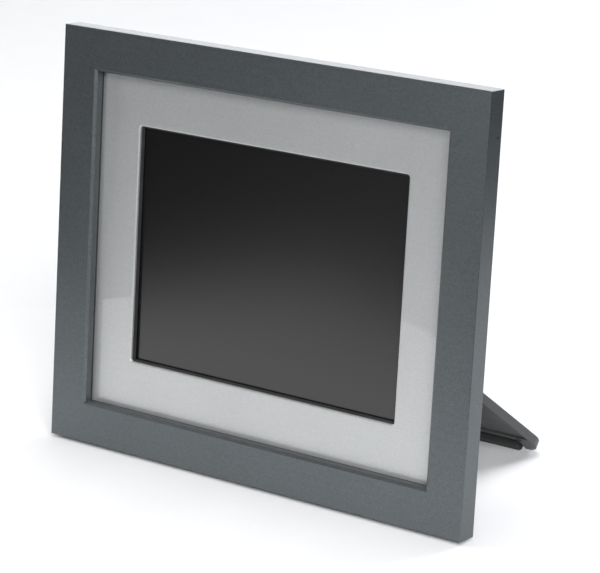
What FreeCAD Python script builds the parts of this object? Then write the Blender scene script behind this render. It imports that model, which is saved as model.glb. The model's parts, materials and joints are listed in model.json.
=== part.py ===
import FreeCAD, Part
import math
import os
import re
import Sketcher

# A digital photo frame on a folding desk stand, sizes in millimetres.
#
# The frame's own parts are drawn upright in "panel" coordinates: X to the viewer's right, Y from the
# front face towards the back, Z up from the bottom edge. The panel then leans back about its lower
# rear edge. The stand is drawn hanging straight down from its hinge axis, which is its own X axis,
# and is then swung back until its rubber foot meets the desk. The origin is on the desk, in the
# middle of the whole object's footprint.

DIMENSIONS = {
    # front frame: one moulding with a stepped inner lip
    "frame_width": 254.0,
    "frame_height": 215.5,
    "frame_depth": 11.6,
    "face_width": 20.3,
    "lip_chamfer": 1.3,
    "lip_round": 0.25,
    "lip_depth": 5.0,
    "rebate_step": 3.0,
    "edge_radius": 0.4,
    "pin_hole_radius": 0.5,
    "pin_hole_depth": 3.0,
    "pin_hole_drop": 22.5,
    "pin_hole_back": 3.4,
    # layers that are clamped in the rebate, front to back
    "fit_clearance": 0.3,
    "beyond": 0.1,
    "press_play": 0.02,
    "seal_thickness": 1.6,
    "seal_inset": 0.3,
    "plate_thickness": 1.5,
    "window_width": 162.4,
    "window_height": 122.1,
    "window_corner": 1.4,
    "window_edge": 0.9,
    "gasket_thickness": 1.7,
    "gasket_inset": 0.8,
    "gasket_width": 9.0,
    "retainer_gap": 1.0,
    # display module
    "lcd_border_x": 6.8,
    "lcd_border_z": 7.95,
    "lcd_thickness": 7.4,
    "bezel_sheet": 0.4,
    "bezel_border": 5.0,
    "cell_thickness": 1.8,
    "cell_play": 0.5,
    "sheet_stack": 0.6,
    "guide_thickness": 2.9,
    "lamp_radius": 1.1,
    "lamp_end": 3.0,
    "tray_sheet": 0.6,
    "tray_pad_inset": 6.0,
    "tray_pad_half": 4.0,
    "tray_pad_reach": 50.0,
    # chassis and main board
    "chassis_side": 1.0,
    "chassis_end": 17.0,
    "chassis_thickness": 1.0,
    "standoff_radius": 2.5,
    "standoff_x": 70.0,
    "standoff_inset": 6.0,
    "standoff_bite": 4.0,
    "stub_length": 2.6,
    "stub_radius": 1.5,
    "clip_x": 50.0,
    "clip_width": 12.0,
    "clip_reach": 7.0,
    "clip_gap": 0.1,
    "clip_arm": 1.0,
    "clip_tab": 1.6,
    "clip_inset": 1.0,
    "board_gap": 2.4,
    "board_thickness": 1.6,
    "board_margin": 2.8,
    "board_hole_inset": 5.0,
    "board_screw_gap": 0.4,
    "screw_play": 0.05,
    "small_screw_radius": 1.2,
    "small_head_radius": 2.3,
    "small_head_height": 1.4,
    "screw_root": 0.2,
    "slot_reach": 0.6,
    "slot_half": 0.15,
    "slot_depth": 0.5,
    "can_pitch": 9.0,
    "can_radius": 3.1,
    "can_height": 5.2,
    "can_x": -36.0,
    "can_z": 26.0,
    "flex_half": 16.5,
    "flex_height": 2.0,
    "flex_low": 1.0,
    "flex_high": 5.0,
    "ribbon_width": 28.0,
    "ribbon_thickness": 0.3,
    "ribbon_start": 3.0,
    "ribbon_gap": 0.2,
    "ribbon_loop": 1.6,
    "ribbon_lift": 1.2,
    "ribbon_step": 4.4,
    "ribbon_end": 0.9,
    # rear cover
    "cover_inset_x": 15.0,
    "cover_inset_z": 12.0,
    "cover_wall": 2.2,
    "base_depth": 12.4,
    "flange_width": 7.0,
    "flange_thickness": 2.4,
    "flange_corner": 3.0,
    "base_corner": 5.0,
    "base_round": 2.5,
    "block_corner": 3.0,
    "block_round": 1.5,
    "hollow_corner": 3.0,
    "block_hollow_corner": 1.5,
    "block_half_width": 51.0,
    "block_rise": 8.25,
    "block_gap": 4.5,
    "cover_screw_radius": 1.45,
    "cover_screw_bite": 5.6,
    "cover_screw_rise": 55.0,
    "cover_screw_edge": 3.2,
    "cover_hole_play": 0.2,
    "cover_head_radius": 2.8,
    "cover_head_height": 1.8,
    "keyhole_spacing": 75.0,
    "keyhole_drop": 20.0,
    "keyhole_head_radius": 4.2,
    "keyhole_slot_radius": 2.1,
    "keyhole_travel": 8.0,
    "vent_width": 3.0,
    "vent_length": 12.0,
    "vent_pitch": 6.0,
    "vent_upper_drop": 44.0,
    "vent_lower_rise": 8.0,
    "grille_length": 12.0,
    "grille_width": 2.0,
    "grille_pitch": 4.0,
    "slot_flat": 0.05,
    # buttons on the rear block
    "button_pitch": 17.0,
    "button_z": 96.0,
    "button_radius": 4.0,
    "button_gap": 0.3,
    "button_proud": 1.2,
    "button_flange": 1.3,
    "button_rim": 1.4,
    "button_stem_radius": 1.5,
    "button_stem_length": 1.3,
    "button_travel": 0.8,
    "press_spare": 0.2,
    "switch_size": 6.0,
    "switch_height": 2.7,
    "plunger_height": 0.6,
    "plunger_radius": 1.4,
    # side bays: connectors and speakers
    "bay_board_depth": 1.6,
    "bay_gap": 0.3,
    "bay_board_gap": 3.0,
    "bay_board_play": 0.4,
    "power_board_drop": 11.0,
    "power_board_rise": 24.0,
    "inverter_board_rise": 26.0,
    "inverter_board_top": 4.0,
    "socket_board_drop": 6.0,
    "socket_board_rise": 4.0,
    "transformer_inset": 3.0,
    "transformer_width": 12.0,
    "transformer_depth": 6.0,
    "transformer_rise": 34.0,
    "transformer_height": 18.0,
    "socket_underlap": 0.2,
    "jack_z": 36.0,
    "jack_bore_radius": 2.9,
    "jack_pin_radius": 1.0,
    "jack_bore_depth": 9.5,
    "jack_half": 4.2,
    "jack_length": 13.5,
    "jack_depth": 8.3,
    "jack_collar_radius": 3.9,
    "jack_window_radius": 4.1,
    "jack_inset": 0.3,
    "jack_pin_inset": 1.3,
    "usb_z": 42.0,
    "usb_height": 13.1,
    "usb_depth": 5.7,
    "usb_length": 14.0,
    "usb_proud": 1.6,
    "usb_back_wall": 1.5,
    "usb_tongue_root": 1.0,
    "usb_tongue_side": 1.0,
    "usb_tongue_front": 0.8,
    "usb_tongue_back": 2.6,
    "usb_tongue_reach": 0.6,
    "shell_sheet": 0.3,
    "card_z": 73.0,
    "card_height": 27.0,
    "card_depth": 3.2,
    "card_start": 4.0,
    "card_proud": 0.8,
    "card_back_wall": 1.0,
    "card_side_wall": 1.2,
    "card_roof": 0.4,
    "speaker_width": 17.0,
    "speaker_height": 40.0,
    "speaker_z": 122.0,
    "speaker_gap": 0.5,
    "speaker_corner": 3.0,
    "speaker_clear": 0.4,
    "magnet_radius": 6.0,
    "magnet_gap": 0.2,
    "magnet_depth": 2.4,
    "dish_wall": 1.5,
    "dish_depth": 1.6,
    "dish_corner": 2.0,
    "cone_inset": 2.2,
    "cone_lift": 0.2,
    "cone_thickness": 0.6,
    # desk stand
    "lean": 5.26,
    "edge_lift": 0.8,
    "hinge_z": 81.9,
    "barrel_radius": 3.5,
    "stand_gap": 0.5,
    "stand_thickness": 5.0,
    "stand_open": 50.0,
    "stand_foot_half": 96.0,
    "stand_hinge_half": 78.0,
    "stand_window_half": 55.0,
    "stand_cross": 45.0,
    "stand_corner": 10.0,
    "stand_inner_corner": 4.0,
    "stand_edge_radius": 1.2,
    "shoulder_gap": 2.0,
    "barrel_gap": 0.8,
    "stand_floor_gap": 0.35,
    "rim_depth": 0.8,
    "rim_at_hinge": 9.0,
    "rim_at_foot": 3.5,
    "rim_at_window": 3.0,
    "rim_top": 6.0,
    "rim_low": 4.0,
    "dimple_radius": 1.6,
    "dimple_inset": 10.0,
    "dimple_rise": 1.9,
    "dimple_depth": 0.6,
    "pin_radius": 1.5,
    "pin_play": 0.04,
    "bush_wall": 0.8,
    "ear_thickness": 4.4,
    "ear_radius": 4.0,
    "washer_space": 1.6,
    "washer_gap": 0.1,
    "washer_seat": 0.05,
    "washer_margin": 0.2,
    "washer_play": 0.05,
    "web_root": 1.0,
    "foot_pad_half": 82.5,
    "foot_pad_proud": 2.2,
    "foot_pad_height": 5.5,
    "foot_pad_gap": 0.1,
    "foot_recess_side": 2.0,
    "foot_recess_depth": 1.2,
    "foot_recess_height": 11.5,
    # small rubber feet under the front frame
    "desk_foot_x": 95.0,
    "desk_foot_length": 14.0,
    "desk_foot_front": 7.0,
    "desk_foot_back": 1.0,
}

DERIVED = {
    "middle_z": "frame_height / 2",
    "opening_half_w": "frame_width / 2 - face_width",
    "opening_half_h": "frame_height / 2 - face_width",
    "wall_half_w": "opening_half_w - lip_chamfer",
    "wall_half_h": "opening_half_h - lip_chamfer",
    "rebate_half_w": "wall_half_w + rebate_step",
    "rebate_half_h": "wall_half_h + rebate_step",
    "layer_half_w": "rebate_half_w - fit_clearance",
    "layer_half_h": "rebate_half_h - fit_clearance",
    "plate_front": "lip_depth + seal_thickness",
    "plate_back": "plate_front + plate_thickness",
    "gasket_back": "plate_back + gasket_thickness",
    "gasket_half_w": "window_width / 2 - gasket_inset",
    "gasket_half_h": "window_height / 2 - gasket_inset",
    "lcd_width": "window_width + 2 * lcd_border_x",
    "lcd_height": "window_height + 2 * lcd_border_z",
    "lcd_back": "gasket_back + lcd_thickness",
    "chassis_width": "lcd_width + 2 * chassis_side",
    "chassis_height": "lcd_height + 2 * chassis_end",
    "standoff_z": "lcd_height / 2 + chassis_end - standoff_inset",
    "cell_back": "gasket_back + bezel_sheet + cell_thickness",
    "sheets_back": "cell_back + sheet_stack",
    "guide_back": "sheets_back + guide_thickness",
    "lamp_space": "4 * lamp_radius",
    "inner_half_w": "lcd_width / 2 - bezel_sheet - cell_play",
    "inner_half_h": "lcd_height / 2 - bezel_sheet - cell_play",
    "chassis_back": "lcd_back + chassis_thickness",
    "board_front": "chassis_back + board_gap",
    "board_back": "board_front + board_thickness",
    "cover_half_w": "frame_width / 2 - cover_inset_x",
    "cover_low": "cover_inset_z",
    "cover_high": "frame_height - cover_inset_z",
    "base_back": "frame_depth + base_depth",
    "base_inner": "base_back - cover_wall",
    "switch_top": "board_back + switch_height",
    "button_room": "button_stem_length + button_flange + button_gap",
    "block_inner": "switch_top + button_travel + press_spare + button_room",
    "block_back": "block_inner + cover_wall",
    "block_low": "middle_z - chassis_height / 2 + block_rise",
    "block_high": "hinge_z + stand_length - stand_cross - block_gap",
    "board_half_w": "block_half_width - cover_wall - board_margin",
    "board_low": "block_low + cover_wall + board_margin",
    "board_high": "block_high - cover_wall - board_margin",
    "board_middle": "(block_low + block_high) / 2",
    "bay_x": "cover_half_w - cover_wall - bay_gap",
    "bay_front": "frame_depth + bay_board_depth",
    "jack_y": "bay_front + jack_half",
    "speaker_x": "bay_x - speaker_gap - speaker_width / 2",
    "dish_floor": "base_inner - speaker_clear - dish_depth",
    "screw_x": "cover_half_w + flange_width - cover_screw_edge",
    "screw_low": "cover_low - flange_width + cover_screw_edge",
    "screw_high": "cover_high + flange_width - cover_screw_edge",
    "keyhole_z": "block_high - keyhole_drop",
    "hinge_y": "base_back + stand_gap + barrel_radius",
    "hinge_lift": "edge_lift - (hinge_y - frame_depth) * sin(lean) + hinge_z * cos(lean)",
    "hinge_reach": "(hinge_y - frame_depth) * cos(lean) + hinge_z * sin(lean)",
    "stand_inner": "barrel_radius - stand_thickness",
    "stand_length": "(hinge_lift + stand_inner * sin(stand_open) - stand_floor_gap) / cos(stand_open)",
    "stand_window": "stand_length - stand_cross",
    "barrel_x": "block_half_width + barrel_gap",
    "barrel_length": "stand_hinge_half - barrel_x",
    "ear_x": "stand_hinge_half + washer_space",
    "bush_radius": "pin_radius + pin_play + bush_wall",
    "pad_face": "stand_inner - foot_pad_proud",
    "pad_seat": "stand_inner + foot_recess_depth",
    "button_back": "block_back + button_proud",
    "flange_back": "block_inner - button_gap",
    "stem_front": "flange_back - button_flange - button_stem_length",
}

BUTTONS = ("power_button", "menu_button", "previous_button", "next_button", "enter_button")
VENTS = 13
GRILLE_SLOTS = 9
CAPACITORS = 3

# blocks soldered to the main board: across and up from its middle, width, height and thickness
BOARD_BLOCKS = {
    "processor": (-12, -24, 24, 24, 1.8),
    "inductor": (12, 26, 9, 9, 4.5),
    "memory_low": (18, -34, 22, 11, 1.2),
    "memory_high": (18, -20, 22, 11, 1.2),
}

doc = FreeCAD.newDocument("digital_photo_frame")
sheet = doc.addObject("Spreadsheet::Sheet", "dims")


def fill_sheet():
    """Write every driving dimension into the sheet: name in column A, number in column B."""
    for row, (name, number) in enumerate(DIMENSIONS.items(), start=1):
        sheet.set(f"A{row}", name)
        sheet.set(f"B{row}", str(number))
        sheet.setAlias(f"B{row}", name)
    doc.recompute()


def expand(formula):
    """Spell a formula out in sheet cells, putting each derived name's own formula in its place."""

    def swap(match):
        word = match.group(0)
        if word in DERIVED:
            return "(" + expand(DERIVED[word]) + ")"
        return "dims." + word if word in DIMENSIONS else word

    return re.sub(r"[a-z_]+", swap, str(formula))


def value(formula):
    """The number that a formula has with the sheet as it stands."""
    return float(sheet.evalExpression(expand(formula)))


def bind(item, prop, formula):
    item.setExpression(prop, expand(formula))


# ---- sketches -------------------------------------------------------------------------------------

PLANES = {"front": "XZ_Plane", "side": "YZ_Plane", "top": "XY_Plane"}


def new_body(label):
    body = doc.addObject("PartDesign::Body", label)
    body.Label = label
    return body


def sketch_on(body, view, depth):
    """A sketch seen from the front, the side or the top of the panel, at a depth along that view.

    Front sketches lie at Y = depth, side sketches at X = depth and top sketches at Z = depth.
    """
    plane = next(item for item in body.Origin.OriginFeatures if item.Role == PLANES[view])
    sketch = body.newObject("Sketcher::SketchObject", body.Name + "_sketch")
    sketch.AttachmentSupport = [(plane, "")]
    sketch.MapMode = "FlatFace"
    bind(sketch, "AttachmentOffset.Base.z", f"-({depth})" if view == "front" else depth)
    return sketch


def dimension(sketch, kind, references, formula):
    """Add one named sketch constraint and tie its value to a formula."""
    index = sketch.addConstraint(Sketcher.Constraint(kind, *references, value(formula)))
    name = f"{kind}_{index}"
    sketch.renameConstraint(index, name)
    bind(sketch, "Constraints." + name, formula)


def fix_x(sketch, line, point, formula):
    dimension(sketch, "DistanceX", (-1, 1, line, point), formula)


def fix_y(sketch, line, point, formula):
    dimension(sketch, "DistanceY", (-1, 1, line, point), formula)


def line_between(start, end):
    return Part.LineSegment(FreeCAD.Vector(*start, 0), FreeCAD.Vector(*end, 0))


def polygon(sketch, points):
    """A closed outline through points given as pairs of formulas."""
    spots = [(value(across), value(up)) for across, up in points]
    first = sketch.GeometryCount
    count = len(spots)
    for index in range(count):
        sketch.addGeometry(line_between(spots[index], spots[(index + 1) % count]), False)
    for index in range(count):
        following = first + (index + 1) % count
        sketch.addConstraint(Sketcher.Constraint("Coincident", first + index, 2, following, 1))
    for index, (across, up) in enumerate(points):
        fix_x(sketch, first + index, 1, across)
        fix_y(sketch, first + index, 1, up)


def rectangle(sketch, left, right, low, high):
    polygon(sketch, [(left, low), (right, low), (right, high), (left, high)])


def rounded_rectangle(sketch, left, right, low, high, radius):
    """Four straight sides joined by four equal quarter circles."""
    x0, x1, z0, z1, r = (value(item) for item in (left, right, low, high, radius))
    sides = [
        ((x0 + r, z0), (x1 - r, z0)),
        ((x1, z0 + r), (x1, z1 - r)),
        ((x1 - r, z1), (x0 + r, z1)),
        ((x0, z1 - r), (x0, z0 + r)),
    ]
    centres = [(x1 - r, z0 + r), (x1 - r, z1 - r), (x0 + r, z1 - r), (x0 + r, z0 + r)]
    first = sketch.GeometryCount
    for quarter in range(4):
        sketch.addGeometry(line_between(*sides[quarter]), False)
        circle = Part.Circle(FreeCAD.Vector(*centres[quarter], 0), FreeCAD.Vector(0, 0, 1), r)
        start = math.pi / 2 * (quarter - 1)
        sketch.addGeometry(Part.ArcOfCircle(circle, start, start + math.pi / 2), False)
    for index in range(8):
        following = first + (index + 1) % 8
        sketch.addConstraint(Sketcher.Constraint("Tangent", first + index, 2, following, 1))
    for index, direction in enumerate(("Horizontal", "Vertical", "Horizontal", "Vertical")):
        sketch.addConstraint(Sketcher.Constraint(direction, first + 2 * index))
    for index in (3, 5, 7):
        sketch.addConstraint(Sketcher.Constraint("Equal", first + 1, first + index))
    dimension(sketch, "Radius", (first + 1,), radius)
    fix_x(sketch, first + 6, 1, left)
    fix_x(sketch, first + 2, 1, right)
    fix_y(sketch, first, 1, low)
    fix_y(sketch, first + 4, 1, high)


def circle(sketch, across, up, radius):
    centre = FreeCAD.Vector(value(across), value(up), 0)
    index = sketch.addGeometry(Part.Circle(centre, FreeCAD.Vector(0, 0, 1), value(radius)), False)
    dimension(sketch, "Radius", (index,), radius)
    fix_x(sketch, index, 3, across)
    fix_y(sketch, index, 3, up)


def keyhole(sketch, across, up, head, slot, travel):
    """A round head hole with a narrower slot running up from it and ending in a half circle."""
    x, z, r, s, t = (value(item) for item in (across, up, head, slot, travel))
    half = math.asin(s / r)
    normal = FreeCAD.Vector(0, 0, 1)
    shoulder = r * math.cos(half)
    head_arc = Part.ArcOfCircle(
        Part.Circle(FreeCAD.Vector(x, z, 0), normal, r), math.pi / 2 + half, 2.5 * math.pi - half
    )
    cap_arc = Part.ArcOfCircle(Part.Circle(FreeCAD.Vector(x, z + t, 0), normal, s), 0, math.pi)
    first = sketch.addGeometry(head_arc, False)
    sketch.addGeometry(line_between((x + s, z + shoulder), (x + s, z + t)), False)
    sketch.addGeometry(cap_arc, False)
    sketch.addGeometry(line_between((x - s, z + t), (x - s, z + shoulder)), False)
    sketch.addConstraint(Sketcher.Constraint("Coincident", first, 2, first + 1, 1))
    sketch.addConstraint(Sketcher.Constraint("Tangent", first + 1, 2, first + 2, 1))
    sketch.addConstraint(Sketcher.Constraint("Tangent", first + 2, 2, first + 3, 1))
    sketch.addConstraint(Sketcher.Constraint("Coincident", first + 3, 2, first, 1))
    sketch.addConstraint(Sketcher.Constraint("Vertical", first + 1))
    sketch.addConstraint(Sketcher.Constraint("Vertical", first + 3))
    dimension(sketch, "Radius", (first,), head)
    dimension(sketch, "Radius", (first + 2,), slot)
    fix_x(sketch, first, 3, across)
    fix_y(sketch, first, 3, up)
    fix_x(sketch, first + 2, 3, across)
    fix_y(sketch, first + 2, 3, f"{up} + {travel}")


# ---- features -------------------------------------------------------------------------------------

LEAST_CUT = 1e-6


def pad(body, sketch, length, back=True):
    """Raise a sketch. Front sketches grow towards the back, side and top sketches along +X and +Z."""
    feature = body.newObject("PartDesign::Pad", body.Name + "_pad")
    feature.Profile = sketch
    bind(feature, "Length", length)
    feature.Reversed = back and "XZ_Plane" in sketch.AttachmentSupport[0][0].Role
    doc.recompute()
    return feature


def pocket(body, sketch, length, reverse=False):
    """Cut a sketch into the body. Front sketches cut towards the back unless reversed."""
    before = body.Shape.Volume
    feature = body.newObject("PartDesign::Pocket", body.Name + "_pocket")
    feature.Profile = sketch
    feature.Reversed = reverse
    bind(feature, "Length", length)
    doc.recompute()
    if body.Shape.Volume >= before - LEAST_CUT:
        raise ValueError(f"a pocket in {body.Label} removes nothing")
    return feature


def through_both_ways(body, sketch):
    before = body.Shape.Volume
    feature = body.newObject("PartDesign::Pocket", body.Name + "_bore")
    feature.Profile = sketch
    feature.Type = "ThroughAll"
    feature.Midplane = True
    doc.recompute()
    if body.Shape.Volume >= before - LEAST_CUT:
        raise ValueError(f"a bore in {body.Label} removes nothing")
    return feature


def repeat(body, feature, axis, spacing, count):
    """Repeat a feature along one of the body's own axes, count times in all."""
    direction = next(item for item in body.Origin.OriginFeatures if item.Role == axis + "_Axis")
    pattern = body.newObject("PartDesign::LinearPattern", body.Name + "_pattern")
    pattern.Originals = [feature]
    pattern.Direction = (direction, [""])
    pattern.Occurrences = count
    bind(pattern, "Length", f"({spacing}) * {count - 1}")
    body.Tip = pattern
    doc.recompute()


def mirror(body, features):
    """Mirror features from the right half of the body to the left half."""
    plane = next(item for item in body.Origin.OriginFeatures if item.Role == "YZ_Plane")
    copy = body.newObject("PartDesign::Mirrored", body.Name + "_mirror")
    copy.Originals = features
    copy.MirrorPlane = (plane, [""])
    body.Tip = copy
    doc.recompute()


def edges_where(shape, test):
    """Names of the edges whose bounding box passes a test."""
    return [f"Edge{index}" for index, edge in enumerate(shape.Edges, start=1) if test(edge.BoundBox)]


def dress(body, kind, size, test):
    """Fillet or chamfer the edges of the body's present tip that pass a test."""
    base = body.Tip
    names = edges_where(body.Shape, test)
    feature = body.newObject("PartDesign::" + kind, body.Name + "_" + kind.lower())
    feature.Base = (base, names)
    bind(feature, "Radius" if kind == "Fillet" else "Size", size)
    doc.recompute()
    return feature


def near(number, formula, slack=0.01):
    return abs(number - value(formula)) < slack


def flat_at(box, axis, formula):
    """True for an edge that lies wholly in the plane where one coordinate has a given value."""
    low, high = getattr(box, axis + "Min"), getattr(box, axis + "Max")
    return near(low, formula) and near(high, formula)


# ---- simple solids --------------------------------------------------------------------------------


def box(name, low, high):
    """A block between two corners, each given as three formulas."""
    block = doc.addObject("Part::Box", name)
    for side, axis, start, end in zip(("Length", "Width", "Height"), "xyz", low, high):
        bind(block, side, f"({end}) - ({start})")
        bind(block, "Placement.Base." + axis, start)
    return block


TURNS = {
    "x": FreeCAD.Rotation(FreeCAD.Vector(0, 1, 0), 90),
    "y": FreeCAD.Rotation(FreeCAD.Vector(1, 0, 0), -90),
    "z": FreeCAD.Rotation(),
}


def rod(name, direction, start, length, radius):
    """A round bar from a start point, given as three formulas, along +X, +Y or +Z."""
    bar = doc.addObject("Part::Cylinder", name)
    bar.Placement = FreeCAD.Placement(FreeCAD.Vector(), TURNS[direction])
    bind(bar, "Radius", radius)
    bind(bar, "Height", length)
    for axis, place in zip("xyz", start):
        bind(bar, "Placement.Base." + axis, place)
    return bar


def tube(name, direction, start, length, radius, bore):
    outside = rod(name + "_outside", direction, start, length, radius)
    inside = rod(name + "_inside", direction, start, length, bore)
    return cut(name, outside, inside)


def fuse(name, *pieces):
    union = doc.addObject("Part::MultiFuse", name)
    union.Shapes = list(pieces)
    return union


def cut(name, base, *tools):
    result = doc.addObject("Part::Cut", name)
    result.Base = base
    result.Tool = tools[0] if len(tools) == 1 else fuse(name + "_tools", *tools)
    return result


def group(name, pieces):
    """One node from one or more solids, which keep their own places inside it."""
    together = doc.addObject("Part::Compound", name)
    together.Links = pieces
    return together


def block_part(name, low, high):
    """A node that is a single plain block."""
    return group(name, [box(name + "_block", low, high)])


def pan_screw(name, x, z, seat, bite, radius, head_radius, head_height):
    """A screw along Y whose head rests on the plane Y = seat, with a cross recess in the head."""
    shank = rod(name + "_shank", "y", (x, f"{seat} - ({bite})", z), f"{bite} + screw_root", radius)
    head = rod(name + "_head", "y", (x, seat, z), head_height, head_radius)
    top = f"{seat} + {head_height}"
    slots = []
    for turn, (wide, tall) in enumerate((("slot_reach", "slot_half"), ("slot_half", "slot_reach"))):
        floor = f"{top} - slot_depth * {head_height}"
        low = (f"{x} - {wide} * {head_radius}", floor, f"{z} - {tall} * {head_radius}")
        high = (f"{x} + {wide} * {head_radius}", f"{top} + beyond", f"{z} + {tall} * {head_radius}")
        slots.append(box(f"{name}_slot_{turn}", low, high))
    return cut(name, fuse(name + "_blank", shank, head), *slots)


def both_sides(formula):
    """A formula and its mirror image across the middle of the frame."""
    return [f"-({formula})", f"({formula})"]


def ring(label, front, depth, outer, inner, corner=None):
    """A rectangular ring centred on the frame, from half sizes (across, up) outside and inside."""
    body = new_body(label)
    outline = sketch_on(body, "front", front)
    rectangle(outline, f"-({outer[0]})", outer[0], f"middle_z - ({outer[1]})", f"middle_z + {outer[1]}")
    pad(body, outline, depth)
    hole = sketch_on(body, "front", front)
    sides = (f"-({inner[0]})", inner[0], f"middle_z - ({inner[1]})", f"middle_z + {inner[1]}")
    if corner:
        rounded_rectangle(hole, *sides, corner)
    else:
        rectangle(hole, *sides)
    pocket(body, hole, depth)
    return body


def sheet_metal(label, front, depth, half_w, half_h):
    """A plain rectangular sheet centred on the frame."""
    low = (f"-({half_w})", front, f"middle_z - ({half_h})")
    high = (half_w, f"{front} + {depth}", f"middle_z + {half_h}")
    return block_part(label, low, high)


# ---- front frame and the layers in its rebate ----------------------------------------------------


def cover_screw_places():
    """Four screws down the sides and four along the top and bottom rails."""
    heights = ("middle_z - cover_screw_rise", "middle_z + cover_screw_rise")
    sides = [(x, z) for x in both_sides("screw_x") for z in heights]
    ends = [(x, z) for x in both_sides("cover_half_w / 2") for z in ("screw_low", "screw_high")]
    return sides + ends


def front_frame():
    body = new_body("front_frame")
    outline = sketch_on(body, "front", "0")
    rectangle(outline, "-frame_width / 2", "frame_width / 2", "0", "frame_height")
    pad(body, outline, "frame_depth")
    opening = sketch_on(body, "front", "0")
    rectangle(
        opening, "-(wall_half_w)", "wall_half_w", "middle_z - wall_half_h", "middle_z + wall_half_h"
    )
    pocket(body, opening, "frame_depth")
    rebate = sketch_on(body, "front", "lip_depth")
    rectangle(
        rebate, "-(rebate_half_w)", "rebate_half_w", "middle_z - rebate_half_h", "middle_z + rebate_half_h"
    )
    pocket(body, rebate, "frame_depth - lip_depth")

    def opening_edge(edge):
        return max(abs(edge.XMin), abs(edge.XMax)) < value("opening_half_w + lip_round")

    dress(body, "Chamfer", "lip_chamfer", lambda edge: flat_at(edge, "Y", "0") and opening_edge(edge))

    def lip(edge):
        level = flat_at(edge, "Y", "0") or flat_at(edge, "Y", "lip_chamfer")
        return level and opening_edge(edge)

    dress(body, "Fillet", "lip_round", lip)

    def rim(edge):
        across = flat_at(edge, "X", "frame_width / 2") or flat_at(edge, "X", "-frame_width / 2")
        along = flat_at(edge, "Z", "0") or flat_at(edge, "Z", "frame_height")
        return across or along

    dress(body, "Fillet", "edge_radius", rim)
    holes = sketch_on(body, "front", "frame_depth - cover_screw_bite")
    for x, z in cover_screw_places():
        circle(holes, x, z, "cover_screw_radius + screw_play")
    pocket(body, holes, "cover_screw_bite")
    side_hole = sketch_on(body, "side", "frame_width / 2")
    circle(side_hole, "frame_depth - pin_hole_back", "frame_height - pin_hole_drop", "pin_hole_radius")
    pocket(body, side_hole, "pin_hole_depth")
    return body


def lip_seal():
    """A thin foam strip between the frame's lip and the mat plate, seen as a dark line round the mat."""
    inner = ("wall_half_w + seal_inset", "wall_half_h + seal_inset")
    return ring("lip_seal", "lip_depth", "seal_thickness", ("layer_half_w", "layer_half_h"), inner)


def mat_plate():
    body = ring(
        "mat_plate",
        "plate_front",
        "plate_thickness",
        ("layer_half_w", "layer_half_h"),
        ("window_width / 2", "window_height / 2"),
        "window_corner",
    )

    def window(edge):
        inside = max(abs(edge.XMin), abs(edge.XMax)) < value("gasket_half_w + gasket_width")
        return flat_at(edge, "Y", "plate_front") and inside

    dress(body, "Fillet", "window_edge", window)
    return body


def screen_gasket():
    outer = ("gasket_half_w + gasket_width", "gasket_half_h + gasket_width")
    return ring("screen_gasket", "plate_back", "gasket_thickness", outer, ("gasket_half_w", "gasket_half_h"))


def retainer_frame():
    body = ring(
        "retainer_frame",
        "plate_back",
        "frame_depth - plate_back",
        ("layer_half_w", "layer_half_h"),
        ("gasket_half_w + gasket_width + retainer_gap", "gasket_half_h + gasket_width + retainer_gap"),
    )
    holes = sketch_on(body, "front", "frame_depth - stub_length")
    for x in both_sides("standoff_x"):
        for z in ("middle_z - standoff_z", "middle_z + standoff_z"):
            circle(holes, x, z, "stub_radius + screw_play")
    pocket(body, holes, "stub_length")
    return body


# ---- display module -------------------------------------------------------------------------------


def lcd_bezel():
    """Folded sheet steel: a flat front border and four side skirts round the display."""
    body = new_body("lcd_bezel")
    outline = sketch_on(body, "front", "gasket_back")
    rectangle(
        outline, "-(lcd_width) / 2", "lcd_width / 2", "middle_z - lcd_height / 2", "middle_z + lcd_height / 2"
    )
    pad(body, outline, "lcd_thickness - tray_sheet")
    inside = sketch_on(body, "front", "gasket_back + bezel_sheet")
    half_w, half_h = "lcd_width / 2 - bezel_sheet", "lcd_height / 2 - bezel_sheet"
    rectangle(inside, f"-({half_w})", half_w, f"middle_z - ({half_h})", f"middle_z + {half_h}")
    pocket(body, inside, "lcd_thickness")
    hole = sketch_on(body, "front", "gasket_back")
    half_w, half_h = "lcd_width / 2 - bezel_border", "lcd_height / 2 - bezel_border"
    rectangle(hole, f"-({half_w})", half_w, f"middle_z - ({half_h})", f"middle_z + {half_h}")
    pocket(body, hole, "lcd_thickness")
    return body


def lcd_panel():
    return sheet_metal(
        "lcd_panel", "gasket_back + bezel_sheet", "cell_thickness", "inner_half_w", "inner_half_h"
    )


def optical_sheets():
    return sheet_metal("optical_sheets", "cell_back", "sheet_stack", "inner_half_w", "inner_half_h")


def light_guide():
    """A clear block behind the sheets that stops short of the lamp along the lower edge."""
    low = ("-(inner_half_w)", "sheets_back", "middle_z - inner_half_h + lamp_space")
    high = ("inner_half_w", "guide_back", "middle_z + inner_half_h")
    return block_part("light_guide", low, high)


def backlight_lamp():
    y, z = "sheets_back + lamp_radius + fit_clearance", "middle_z - inner_half_h + lamp_space / 2"
    start = ("-(inner_half_w) + lamp_end", y, z)
    lamp = rod("lamp_glass", "x", start, "2 * (inner_half_w - lamp_end)", "lamp_radius")
    return group("backlight_lamp", [lamp])


def backlight_tray():
    """The display's back: a shallow steel tray whose rim keeps the light guide in place."""
    half_w, half_h = "inner_half_w", "inner_half_h"
    back = sheet_metal("tray_back", "lcd_back - tray_sheet", "tray_sheet", half_w, half_h)
    pads = []
    for index, x in enumerate(both_sides("inner_half_w - tray_pad_inset")):
        low = (f"{x} - tray_pad_half", "guide_back", "middle_z - tray_pad_reach")
        high = (f"{x} + tray_pad_half", "lcd_back - tray_sheet", "middle_z + tray_pad_reach")
        pads.append(box(f"tray_pad_{index}", low, high))
    return fuse("backlight_tray", back, *pads)


# ---- chassis and main board ----------------------------------------------------------------------


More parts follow.
